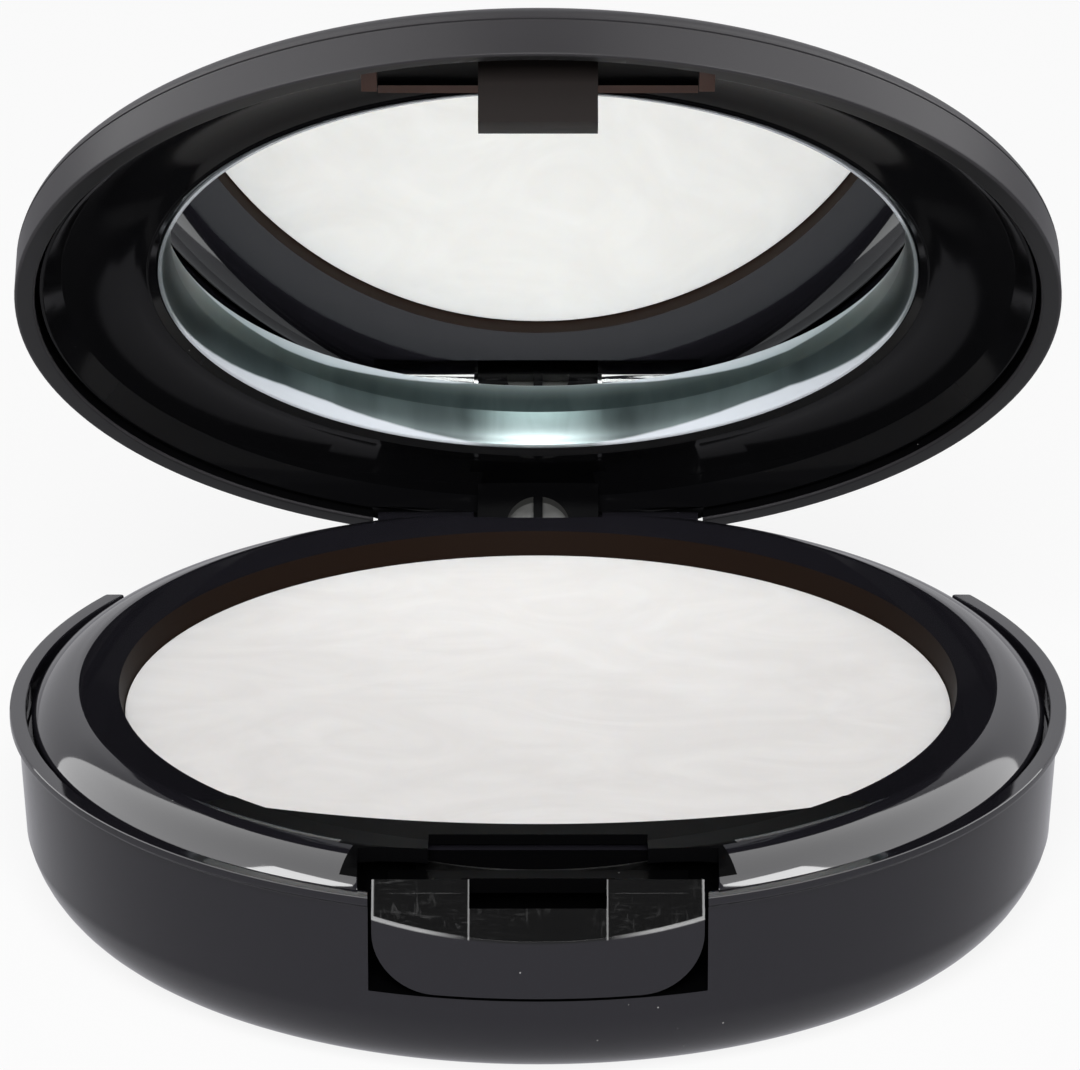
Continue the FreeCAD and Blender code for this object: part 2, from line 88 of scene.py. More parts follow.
# %% Section lines
def bow(a, b, c, count=8):
    """Points after a, on the round line from a through b to c."""
    (ax, ay), (bx, by), (cx, cy) = a, b, c
    d = 2 * (ax * (by - cy) + bx * (cy - ay) + cx * (ay - by))
    sa, sb, sc = ax * ax + ay * ay, bx * bx + by * by, cx * cx + cy * cy
    ux = (sa * (by - cy) + sb * (cy - ay) + sc * (ay - by)) / d
    uy = (sa * (cx - bx) + sb * (ax - cx) + sc * (bx - ax)) / d
    radius = math.hypot(ax - ux, ay - uy)
    start = math.atan2(ay - uy, ax - ux)
    middle = (math.atan2(by - uy, bx - ux) - start) % math.tau
    sweep = (math.atan2(cy - uy, cx - ux) - start) % math.tau
    if middle > sweep:
        sweep -= math.tau
    angles = [start + sweep * i / count for i in range(1, count + 1)]
    return [(ux + radius * math.cos(t), uy + radius * math.sin(t)) for t in angles]


def soften(points, radius, count=3):
    """A closed outline with each corner rounded, as far as its two sides allow."""
    out = []
    total = len(points)
    for i, corner in enumerate(points):
        p = Vector(corner)
        to_last = Vector(points[i - 1]) - p
        to_next = Vector(points[(i + 1) % total]) - p
        turn = to_last.angle(to_next)
        if p.x < 1e-6 or turn > math.radians(160):
            out.append(tuple(p))
            continue
        reach = min(radius / math.tan(turn / 2), 0.4 * to_last.length, 0.4 * to_next.length)
        a = p + to_last.normalized() * reach
        b = p + to_next.normalized() * reach
        for k in range(count + 1):
            t = k / count
            out.append(tuple(a * (1 - t) ** 2 + p * (2 * t * (1 - t)) + b * t * t))
    return out


# %% [markdown]
# A section is drawn as by hand: a plane is merged to one point, the point is extruded from
# corner to corner, and the line is spun about the upright axis. Seam and poles are then merged
# and all faces turned outwards, because a spin can leave a shape inside out.

# %% Spinning a section
def drawn(name, points):
    """A wire through points, drawn by extruding one corner of a plane."""
    deselect()
    bpy.ops.mesh.primitive_plane_add(size=MM)
    piece = bpy.context.object
    piece.name = name
    bpy.ops.object.mode_set(mode="EDIT")
    bpy.ops.mesh.merge(type="CENTER")
    spot = Vector((0, 0, 0))
    for i, p in enumerate(points):
        goal = Vector(p) * MM
        if i == 0:
            bpy.ops.transform.translate(value=goal - spot)
        else:
            bpy.ops.mesh.extrude_region_move(TRANSFORM_OT_translate={"value": goal - spot})
        spot = goal
    return piece


def closed_up(piece):
    """Merges seams and poles and turns all faces outwards."""
    take(piece)
    bpy.ops.object.mode_set(mode="EDIT")
    bpy.ops.mesh.select_all(action="SELECT")
    bpy.ops.mesh.remove_doubles(threshold=2e-7)
    bpy.ops.mesh.dissolve_degenerate(threshold=1e-8)
    bpy.ops.mesh.select_all(action="SELECT")
    bpy.ops.mesh.normals_make_consistent(inside=False)
    bpy.ops.object.mode_set(mode="OBJECT")
    return piece


def turned(name, section, steps=TURNS):
    """A closed half section of (radius, height) points, spun to a solid about the Z axis."""
    loop = section + [section[0]]
    piece = drawn(name, [(r, 0, z) for r, z in loop])
    bpy.ops.mesh.select_all(action="SELECT")
    bpy.ops.mesh.remove_doubles(threshold=1e-7)
    bpy.ops.mesh.select_all(action="SELECT")
    bpy.ops.mesh.spin(steps=steps, angle=math.tau, center=(0, 0, 0), axis=(0, 0, 1))
    return closed_up(piece)


# %% [markdown]
# What is not round is a box, a bar along the hinge, or a flat outline pushed through to a prism.
# Their places are applied to the mesh, so that every piece stays at the origin.

# %% Blocks, bars and prisms
def block(name, x0, x1, y0, y1, z0, z1):
    """A box between two corners, in millimetres."""
    deselect()
    centre = Vector(((x0 + x1) / 2, (y0 + y1) / 2, (z0 + z1) / 2)) * MM
    bpy.ops.mesh.primitive_cube_add(size=1, location=centre)
    piece = bpy.context.object
    piece.name = name
    piece.scale = Vector((x1 - x0, y1 - y0, z1 - z0)) * MM
    bpy.ops.object.transform_apply(location=True, rotation=True, scale=True)
    return piece


def bar(name, radius, x0, x1, y=HINGE_Y, z=HINGE_Z, sides=64):
    """A round bar along X."""
    deselect()
    bpy.ops.mesh.primitive_cylinder_add(
        vertices=sides, radius=radius * MM, depth=(x1 - x0) * MM,
        location=Vector(((x0 + x1) / 2, y, z)) * MM, rotation=(0, math.pi / 2, 0),
    )
    piece = bpy.context.object
    piece.name = name
    bpy.ops.object.transform_apply(location=True, rotation=True, scale=True)
    return piece


def prism(name, outline, direction):
    """A flat outline of 3-D points, filled and extruded along a direction."""
    piece = drawn(name, outline + [outline[0]])
    bpy.ops.mesh.select_all(action="SELECT")
    bpy.ops.mesh.remove_doubles(threshold=1e-7)
    bpy.ops.mesh.select_all(action="SELECT")
    bpy.ops.mesh.edge_face_add()
    bpy.ops.mesh.extrude_region_move(TRANSFORM_OT_translate={"value": Vector(direction) * MM})
    return closed_up(piece)


# %% [markdown]
# Openings are cut and lugs joined on with Boolean modifiers, where a mould would have cores and
# pockets. A moulded edge is never quite sharp, so it gets a fine bevel, and weighted normals keep
# the large flats beside it flat. The lid's pieces are swung open as the last step.

# %% Cutting, joining and finishing
def combine(piece, tool, operation):
    """Cuts a tool out of a piece, or joins it on, and deletes the tool."""
    take(piece)
    step = piece.modifiers.new("combine", "BOOLEAN")
    step.operation = operation
    step.solver = "EXACT"
    step.object = tool
    bpy.ops.object.modifier_apply(modifier=step.name)
    bpy.data.objects.remove(tool)
    return piece


def cut(piece, *tools):
    for tool in tools:
        combine(piece, tool, "DIFFERENCE")
    return piece


def join(piece, *tools):
    for tool in tools:
        combine(piece, tool, "UNION")
    return piece


def finished(piece, edge=0.0, angle=32):
    """Breaks the sharp edges a little, as moulded edges are, and shades smooth, flat faces flat."""
    take(piece)
    if edge:
        step = piece.modifiers.new("edge", "BEVEL")
        step.width = edge * MM
        step.segments = 2
        step.limit_method = "ANGLE"
        step.angle_limit = math.radians(angle)
        step.use_clamp_overlap = True
        bpy.ops.object.modifier_apply(modifier=step.name)
    bpy.ops.object.shade_smooth_by_angle(angle=math.radians(angle))
    if edge:
        step = piece.modifiers.new("shade", "WEIGHTED_NORMAL")
        step.keep_sharp = True
        bpy.ops.object.modifier_apply(modifier=step.name)
    print(piece.name, len(piece.data.polygons), "faces")
    return piece


def swing_open(piece):
    """Turns a piece modelled shut to the lid's rest angle about the pin."""
    pin = Vector((0, HINGE_Y, HINGE_Z)) * MM
    swing = Matrix.Translation(pin) @ Matrix.Rotation(-math.radians(OPEN_ANGLE), 4, "X")
    piece.data.transform(swing @ Matrix.Translation(-pin))
    return piece


# %% [markdown]
# The bowl is a turned shell: flat foot, round flank, upright wall and a crisp lip that stands
# a little proud. Its mouth is stepped so that the holder's flange can sit in it. The window
# for the button, the lower lip round the hinge and the hinge pocket are cut out, as a mould's
# cores would do it, and the two knuckles are joined on.

# %% Bowl
BOWL_OUT = [(0, 0), (29.5, 0)] + bow((29.5, 0), (34.9, 1.9), (37.4, 6.0), 14)
BOWL_LIP = [(37.9, LIP_Z - 1.0), (RIM_R, LIP_Z - 0.6), (RIM_R, LIP_Z)]
BOWL_MOUTH = [(37.3, LIP_Z), (37.3, LIP_Z - 2.4), (35.6, LIP_Z - 2.4), (35.6, 6.6)]
BOWL_IN = bow((35.6, 6.6), (33.6, 3.2), (28.9, 1.5), 8) + [(0, 1.5)]
POCKET_HALF = 15.6
POCKET_FRONT_Y = 32.8
POCKET_FLOOR_Z = LIP_Z - 5.6
WINDOW_HALF = 11.85
WINDOW_Z = LIP_Z - 7.5
WINDOW_BACK_Y = 33.2
WALL = 1.3
LOW_LIP_Z = LIP_Z - 1.0
LOW_LIP_ANGLE = 57.5
HINGE_WALL_HALF = 16.9
BAY_IN = 12.15
BAY_OUT = 13.3
STOP_WALL_Y = 28.0
KNUCKLE_R = 2.1
KNUCKLE_IN = 4.9
KNUCKLE_OUT = 12.2


def lower_lip():
    """The ring sector that is cut off the lip round the hinge."""
    inner, outer, high = 36.5, 40, LIP_Z + 2
    ring = turned(
        "lip_cut", [(inner, LOW_LIP_Z), (outer, LOW_LIP_Z), (outer, high), (inner, high)]
    )
    edge_y = RIM_R * math.cos(math.radians(LOW_LIP_ANGLE))
    return cut(ring, block("front_half", -50, 50, -50, edge_y, 0, 40))


def inner_room(name):
    """What lies inside the bowl's outer skin, to trim inner walls to."""
    flank = bow((28.9, 0.5), (34.3, 2.4), (36.6, 6.4), 14)
    return turned(name, [(0, 0.5), (28.9, 0.5)] + flank + [(36.9, 14.8), (0, 14.8)])


def hinge_walls():
    """The walls round the hinge pocket, solid until the pocket is cut."""
    front_y, low = POCKET_FRONT_Y - WALL, POCKET_FLOOR_Z - WALL
    walls = block("hinge_walls", -HINGE_WALL_HALF, HINGE_WALL_HALF, front_y, 37.0, low, LOW_LIP_Z)
    return combine(walls, inner_room("hinge_trim"), "INTERSECT")


def button_bay():
    """The box behind the window, whose back wall stops the button's spring."""
    front_y, back_y, low, high = -38, -STOP_WALL_Y + 0.5, 1.0, LIP_Z - 2.55
    bay = block("bay_back", -BAY_OUT, BAY_OUT, -STOP_WALL_Y, -STOP_WALL_Y + 1, low, LIP_Z - 0.5)
    join(bay, block("bay_left", -BAY_OUT, -BAY_IN, front_y, back_y, low, high))
    join(bay, block("bay_right", BAY_IN, BAY_OUT, front_y, back_y, low, high))
    join(bay, block("bay_floor", -12.6, 12.6, front_y, back_y, WINDOW_Z - 1.2, WINDOW_Z))
    return combine(bay, inner_room("bay_trim"), "INTERSECT")


def base_knuckle(side):
    near, far = sorted((side * KNUCKLE_IN, side * KNUCKLE_OUT))
    low, high = HINGE_Z - KNUCKLE_R, HINGE_Z + 1.0
    arm = block("arm", near, far, POCKET_FRONT_Y - 0.4, HINGE_Y, low, high)
    return join(bar("knuckle", KNUCKLE_R, near, far), arm)


def make_bowl():
    bowl = turned("bowl", soften(BOWL_OUT + BOWL_LIP + BOWL_MOUTH + BOWL_IN, 0.18))
    join(bowl, hinge_walls())
    pocket = block("pocket", -POCKET_HALF, POCKET_HALF, POCKET_FRONT_Y, 60, POCKET_FLOOR_Z, 60)
    window = block("window", -WINDOW_HALF, WINDOW_HALF, -60, -WINDOW_BACK_Y, WINDOW_Z, 60)
    join(bowl, button_bay())
    cut(bowl, lower_lip(), pocket, window)
    join(bowl, base_knuckle(-1), base_knuckle(1))
    return finished(bowl, 0.07)


bowl = make_bowl()

# %% [markdown]
# The cream's well is a circle with a flattened front, tapered like any moulded pocket. It could
# be a scaled cylinder with its front cut off, but the flat is slightly round and the taper has
# to run all the way round, so two outlines are drawn and bridged.

# %% Flat-fronted outline
WELL_R = 30.6
WELL_TOP_Z = LIP_Z + 1.7
WELL_FRONT_Y = 25.2
WELL_FRONT_R = 64.0
WELL_FLOOR_Z = LIP_Z - 4.6
WELL_DRAFT = 1.2 / (WELL_TOP_Z - WELL_FLOOR_Z)


def flat_front(shrink, z, count=120):
    """Points round a circle whose front is flattened to a larger circle."""
    r = WELL_R - shrink
    front_r = WELL_FRONT_R - shrink
    centre_y = WELL_FRONT_R - WELL_FRONT_Y
    corner_y = (r * r + centre_y ** 2 - front_r ** 2) / (2 * centre_y)
    corner = math.atan2(corner_y, math.sqrt(r * r - corner_y ** 2))
    back = [corner + (math.pi - 2 * corner) * i / count for i in range(count + 1)]
    points = [(r * math.cos(t), r * math.sin(t), z) for t in back]
    half_x = points[0][0]
    across = [-half_x + 2 * half_x * i / (count // 2) for i in range(1, count // 2)]
    front = [(x, centre_y - math.sqrt(front_r ** 2 - x * x), z) for x in across]
    return points + front


def tapered(name, shrink_low, z_low, shrink_high, z_high):
    """A block between two flat-fronted outlines, bridged as by hand."""
    low = flat_front(shrink_low, z_low)
    high = flat_front(shrink_high, z_high)
    piece = drawn(name, low + [low[0]])
    upper = drawn(name + "_top", high + [high[0]])
    bpy.ops.object.mode_set(mode="OBJECT")
    for ring in (piece, upper):
        take(ring)
        bpy.ops.object.mode_set(mode="EDIT")
        bpy.ops.mesh.select_all(action="SELECT")
        bpy.ops.mesh.remove_doubles(threshold=1e-7)
        bpy.ops.mesh.select_all(action="SELECT")
        bpy.ops.mesh.edge_face_add()
        bpy.ops.object.mode_set(mode="OBJECT")
    deselect()
    upper.select_set(True)
    piece.select_set(True)
    bpy.context.view_layer.objects.active = piece
    bpy.ops.object.join()
    bpy.ops.object.mode_set(mode="EDIT")
    bpy.ops.mesh.select_all(action="SELECT")
    bpy.ops.mesh.bridge_edge_loops()
    bpy.ops.mesh.select_all(action="DESELECT")
    bpy.ops.object.mode_set(mode="OBJECT")
    return closed_up(piece)


def draft(z):
    """How far the well has drawn in at a height."""
    return (WELL_TOP_Z - z) * WELL_DRAFT


# %% [markdown]
# The holder is the ring round the cream. From the groove at the lip its outer face climbs in a
# round bevel to a crest, and a flat land falls slightly to the edge of the well. The crescent
# left by the well's flat front is a shelf a little below the land. The front is cut away in two
# steps for the hook, and the back for the knuckles. One spun section gives bevel, crest and land
# without a seam, and that matters because this is the glossiest edge of the object.

# %% Holder
GROOVE = (36.9, LIP_Z - 0.4)
HOLDER_UNDER = [(0, LIP_Z - 5.8), (30.6, LIP_Z - 5.8), (31.6, LIP_Z - 0.1)]
HOLDER_LIP = bow((31.6, LIP_Z - 0.1), (33.9, LIP_Z + 0.55), (35.9, LIP_Z - 1.5), 8)
HOLDER_FLANGE = [(35.9, LIP_Z - 2.4), (36.9, LIP_Z - 2.4), GROOVE]
BAY_FRONT_Y = 31.6
CATCH_BAY_Y = 26.9
CATCH_BAY_HALF = 7.7
ROOM_HALF = 12.6
SHELF_R = 30.35


def low_front():
    """The room under the holder's front, for the button's arms and bar."""
    front = block("low_front", -33.0, 33.0, -60, -WELL_FRONT_Y - 1.2, 0, LIP_Z - 0.1)
    drum = turned("drum", [(0, 0), (33.1, 0), (33.1, LIP_Z - 0.1), (0, LIP_Z - 0.1)])
    return combine(front, drum, "INTERSECT")


def make_holder():
    land = (WELL_R - 2.5, LIP_Z + 0.95)
    bevel = bow(GROOVE, (35.6, LIP_Z + 0.95), (33.95, LIP_Z + 1.62), 14)
    crest = bow((33.95, LIP_Z + 1.62), (33.6, LIP_Z + 1.69), (33.2, LIP_Z + 1.66), 4)
    section = HOLDER_UNDER + HOLDER_LIP + HOLDER_FLANGE + bevel + crest + [land, (0, land[1])]
    holder = turned("holder", section)
    well = tapered("well", draft(WELL_FLOOR_Z), WELL_FLOOR_Z, 0, WELL_TOP_Z)
    low, high = LIP_Z + 0.65, LIP_Z + 4
    shelf = turned("shelf", [(0, low), (SHELF_R, low), (SHELF_R, high), (0, high)])
    bay = block("bay", -ROOM_HALF, ROOM_HALF, -60, -BAY_FRONT_Y, 0, 60)
    catch_bay = block("catch_bay", -CATCH_BAY_HALF, CATCH_BAY_HALF, -60, -CATCH_BAY_Y, 0, 60)
    hinge_room = block("hinge_room", -ROOM_HALF, ROOM_HALF, POCKET_FRONT_Y - 0.2, 60, 0, 60)
    gap = 0.15
    half, front_y = HINGE_WALL_HALF + gap, POCKET_FRONT_Y - WALL - gap
    wall_room = block("wall_room", -half, half, front_y, 60, 0, LOW_LIP_Z + gap)
    cut(holder, well, shelf, low_front(), bay, catch_bay, hinge_room, wall_room)
    return finished(holder, 0.08)


holder = make_holder()

# %% [markdown]
# The cream is poured into its pan and sets level, and its skin keeps faint swirls from the
# pour. A plain disc would run through the well's flat front, so it is the well's own outline, a
# hair smaller, with a softened edge where the skin meets the wall.

# %% Cream
CREAM_Z = LIP_Z - 0.5
PAN_TOP_Z = LIP_Z - 1.1
PAN_INSIDE_Z = WELL_FLOOR_Z + 0.75
SKIN_GAP = 0.06


def make_cream():
    low, high = draft(PAN_TOP_Z) + SKIN_GAP, draft(CREAM_Z) + SKIN_GAP
    cream = tapered("cream", low, PAN_TOP_Z, high, CREAM_Z)
    inset = draft(WELL_FLOOR_Z + 0.4) + 0.65
    join(cream, tapered("core", inset, PAN_INSIDE_Z, inset, PAN_TOP_Z + 0.1))
    return finished(cream, 0.12, 50)


cream = make_cream()

# %% [markdown]
# The push button closes the window in the bowl's flank. Its face carries the flank's own
# curve, its lower corners are round, and its top slopes down to the front so that a nail finds
# the lid. A notch takes the lid's hook, and behind it two arms hold the bar that the hook's
# barb catches. It is cut from the bowl's outline, so that both surfaces run on.

# %% Button
BUTTON_HALF = WINDOW_HALF - 0.25
BUTTON_LOW = WINDOW_Z + 0.2
BUTTON_BACK_Y = 33.3
LEDGE_FRONT = Vector((0, -38.2, LIP_Z - 3.1))
LEDGE_SLOPE = 32.0
CORNER_R = 4.3
NOTCH_HALF = 4.8
NOTCH_FRONT_Y = 35.4
NOTCH_BACK_Y = 32.0
ARM_IN = 5.4
ARM_OUT = 10.5
BAR_HALF = 10.4
BAR_FRONT_Y = 31.7
BAR_BACK_Y = 30.2
BAR_LOW = LIP_Z - 1.75
BAR_HIGH = LIP_Z - 0.65


def button_outline(y):
    """The button's face seen from the front: square above, round below."""
    half, low, top = BUTTON_HALF, BUTTON_LOW, LIP_Z
    points = [(half, y, top), (-half, y, top)]
    for side, first in ((-1, 180), (1, 270)):
        for k in range(13):
            t = math.radians(first + 90 * k / 12)
            x = side * (half - CORNER_R) + CORNER_R * math.cos(t)
            points.append((x, y, low + CORNER_R + CORNER_R * math.sin(t)))
    return points


def make_button():
    button = prism("button", button_outline(-BUTTON_BACK_Y), (0, -8, 0))
    flank = turned("flank", BOWL_OUT + [(37.9, LIP_Z - 1.0), (37.9, LIP_Z + 2), (0, LIP_Z + 2)])
    combine(button, flank, "INTERSECT")
    notch = block("notch", -NOTCH_HALF, NOTCH_HALF, -NOTCH_FRONT_Y, -NOTCH_BACK_Y, 0, 60)
    above = block("above", -50, 50, -50, 50, 0, 50)
    slope = Matrix.Rotation(math.radians(LEDGE_SLOPE), 4, "X")
    above.data.transform(Matrix.Translation(LEDGE_FRONT * MM) @ slope)
    cut(button, above, notch)
    for side in (-1, 1):
        near, far = sorted((side * ARM_IN, side * ARM_OUT))
        join(button, block("button_arm", near, far, -34.3, -BAR_BACK_Y, BAR_LOW, BAR_HIGH))
    bar_y = (-BAR_FRONT_Y, -BAR_BACK_Y)
    join(button, block("catch_bar", -BAR_HALF, BAR_HALF, *bar_y, BAR_LOW, BAR_HIGH))
    return finished(button, 0.1)


button = make_button()

# %% [markdown]
# The lid's outer shell is a shallow dome on a short upright side. Only its side band shows
# from the front, but the dome is the whole of the closed compact's top. A flattened sphere would
# do for the dome alone, and a spun section gives the side, the rim and the inside with it.

# %% Lid shell
def dome(edge, top, count=24):
    """Points of a shallow dome from its edge to its crown, level at the crown."""
    rise = top[1] - edge[1]
    radius = (edge[0] ** 2 + rise ** 2) / (2 * rise)
    radii = [edge[0] * (1 - i / count) for i in range(1, count + 1)]
    return [(r, top[1] - radius + math.sqrt(radius ** 2 - r * r)) for r in radii]


RIB_IN = 11.3
RIB_OUT = 12.4
SIDE_TOP = (LID_R - 0.1, LID_Z + 3.0)
DOME_EDGE = (36.4, LID_Z + 4.6)
DOME_TOP = (0, LID_Z + 13.0)
INNER_EDGE = (35.6, LID_Z + 3.8)
INNER_TOP = (0, LID_Z + 12.0)


def knuckle_room():
    """The round hollow in which the base's knuckles turn."""
    return bar("knuckle_room", KNUCKLE_R + 0.4, -ROOM_HALF, ROOM_HALF)


def rim_relief():
    """The shallow relief behind the front rim, on either side of the hook."""
    span = block("relief", -RIB_OUT, RIB_OUT, -60, -34.1, 0, LID_Z + 2.0)
    drum = turned("relief_drum", [(0, 0), (37.5, 0), (37.5, 40), (0, 40)])
    return combine(span, drum, "INTERSECT")


def make_lid_shell():
    rim = soften([(36.8, LID_Z + 2.7), (36.8, LID_Z), (LID_R, LID_Z), SIDE_TOP], 0.22)[1:-1]
    shoulder = [SIDE_TOP] + bow(SIDE_TOP, (LID_R - 0.65, LID_Z + 4.0), DOME_EDGE, 8)
    inside = [(36.8, LID_Z + 2.7), INNER_EDGE] + dome(INNER_EDGE, INNER_TOP)
    shell = turned("lid_outer", rim + shoulder + dome(DOME_EDGE, DOME_TOP) + inside[::-1])
    cut(shell, rim_relief(), knuckle_room())
    return swing_open(finished(shell, 0.06))


lid_outer = make_lid_shell()

# %% [markdown]
# The liner is snapped into the lid and carries everything else: a dished ring, a fine raised
# bezel, the deep round seat of the mirror, the hook at the front between two small ribs and on
# a straight sill, and the hinge block at the back. The block has a round-topped scoop with a rib
# in it, as thick mouldings are cored out so that they do not sink as the plastic cools. The ring
# is spun, and what breaks its roundness is cut or joined after that.

# %% Lid liner
MIRROR_Z = LID_Z + 5.35
MIRROR_THICK = 0.8
MIRROR_R = 27.7
MIRROR_BEVEL = 0.4
RING_IN = 26.95
RING_OUT = 27.85
RING_TOP_Z = LID_Z + 2.75
SEAT_Z = MIRROR_Z + 1.0
BEZEL_Z = LID_Z + 2.4
SILL_Y = 28.4
BLOCK_HALF = 4.6
SCOOP_R = 2.4
HOOK_HALF = 4.2
HOOK_FRONT_Y = 34.1
HOOK_BACK_Y = 32.9
BARB_BACK_Y = 31.1


def make_hook():
    """A flat tab with a ramped barb on its back."""
    root, tip, barb = LID_Z + 2.9, LIP_Z - 2.9, LIP_Z - 1.9
    front, back, reach = -HOOK_FRONT_Y, -HOOK_BACK_Y, -BARB_BACK_Y
    tab = [(back, root), (front, root), (front, tip), (back, tip)]
    ramp = [(reach, barb - 0.3), (reach, barb), (back, barb)]
    return prism("hook", [(-HOOK_HALF, y, z) for y, z in tab + ramp], (2 * HOOK_HALF, 0, 0))


def make_hinge_block():
    face_y, back_y = HINGE_Y - 1.9, HINGE_Y + 1.0
    arm = block("hinge_arm", -BLOCK_HALF, BLOCK_HALF, face_y, back_y, HINGE_Z, LID_Z + 2.6)
    hinge_block = join(bar("hinge_block", KNUCKLE_R, -BLOCK_HALF, BLOCK_HALF), arm)
    arch = []
    for k in range(25):
        t = math.pi * k / 24
        arch.append((SCOOP_R * math.cos(t), face_y - 3, HINGE_Z + 0.3 + SCOOP_R * math.sin(t)))
    scoop = prism("scoop", arch, (0, 4.0, 0))
    cut(scoop, block("scoop_rib", -0.35, 0.35, 20, 60, 0, 40))
    return cut(hinge_block, scoop)


def make_liner():
    face = [(36.5, LID_Z + 0.75), (36.2, LID_Z + 0.75), (34.9, LID_Z + 2.1)]
    dish = bow((34.9, LID_Z + 2.1), (31.8, LID_Z + 2.72), (29.3, LID_Z + 2.65), 12)
    bezel = [(28.6, BEZEL_Z + 0.25), (28.6, BEZEL_Z), (27.95, BEZEL_Z + 0.45), (27.95, SEAT_Z)]
    back = [(0, SEAT_Z), (0, SEAT_Z + 0.4), (28.3, SEAT_Z + 0.4), (29.7, LID_Z + 3.75)]
    rear = [(35.3, LID_Z + 3.2), (36.5, LID_Z + 2.1)]
    liner = turned("liner", soften(face + dish + bezel + back + rear, 0.1))
    cut(liner, rim_relief(), knuckle_room())
    for side in (-1, 1):
        near, far = sorted((side * RIB_IN, side * RIB_OUT))
        join(liner, block("rib", near, far, -35.3, -32.4, LID_Z + 0.3, LID_Z + 2.6))
    join(liner, block("hook_sill", -RIB_IN, RIB_IN, -29.5, -SILL_Y, BEZEL_Z, BEZEL_Z + 0.5))
    join(liner, make_hinge_block(), make_hook())
    return swing_open(finished(liner, 0.07))


liner = make_liner()

# %% [markdown]
# The mirror is a silvered disc at the bottom of its seat. A bright ring stands on its edge and
# keeps it in, and as it parts the glass from the bezel, it makes the mirror read as deep. A
# single plane would mirror as well, but a disc with a ground edge holds up when it is seen apart.

# %% Mirror and ring
def make_mirror():
    low = MIRROR_Z
    back = low + MIRROR_THICK
    ground = [(MIRROR_R - MIRROR_BEVEL, low), (MIRROR_R, low + MIRROR_BEVEL)]
    section = [(0, low)] + ground + [(MIRROR_R, back), (0, back)]
    return swing_open(finished(turned("mirror", section), 0, 4))


def make_mirror_ring():
    top, foot = RING_TOP_Z, (RING_IN, MIRROR_Z)
    wall = bow(foot, (27.2, (MIRROR_Z + top) / 2), (27.5, top + 0.25), 6)
    section = [(RING_OUT, top), (RING_OUT, MIRROR_Z), foot] + wall
    section += bow(wall[-1], (27.56, top + 0.07), (27.68, top), 4)
    return swing_open(finished(turned("mirror_ring", section), 0, 40))


mirror = make_mirror()
ring = make_mirror_ring()

# %% [markdown]
# Each finish is a small shader graph. Its maths could be wired up node by node, but is easier
# to read as a Python expression, so a wrapper class turns operators into Math nodes.

# %% Operators on sockets
class Value:
    """A number that changes over a surface: operators on it add Math nodes."""

    def __init__(self, graph, socket):
        self.graph = graph
        self.socket = socket

    def math(self, operation, a, b):
        return self.graph.node("ShaderNodeMath", {"operation": operation}, {0: a, 1: b})

    def __add__(self, other):
        return self.math("ADD", self, other)

    def __sub__(self, other):
        return self.math("SUBTRACT", self, other)

    def __rsub__(self, other):
        return self.math("SUBTRACT", other, self)

    def __mul__(self, other):
        return self.math("MULTIPLY", self, other)

    def __gt__(self, other):
        return self.math("GREATER_THAN", self, other)

    def __lt__(self, other):
        return self.math("LESS_THAN", self, other)

    __radd__ = __add__
    __rmul__ = __mul__


# %% [markdown]
# Every other node comes from one method, which sets a node up first and then fills or links its
# sockets. It serves the world's light as well as the materials.

# %% Node graphs
class Graph:
    """A node tree under construction."""

    def __init__(self, tree):
        self.tree = tree

    def link(self, value, socket):
        if isinstance(value, Value):
            self.tree.links.new(value.socket, socket)
        else:
            socket.default_value = value

    def node(self, kind, settings=None, inputs=None, output=0):
        made = self.tree.nodes.new(kind)
        for key, value in (settings or {}).items():
            setattr(made, key, value)
        for key, value in (inputs or {}).items():
            self.link(value, made.inputs[key])
        return Value(self, made.outputs[output])

    def mix(self, factor, a, b):
        return self.node("ShaderNodeMix", {"data_type": "RGBA"}, {0: factor, 6: a, 7: b}, 2)

    def ray(self, kind):
        """One for rays of a kind, zero for others."""
        return self.node("ShaderNodeLightPath", output=f"Is {kind} Ray")
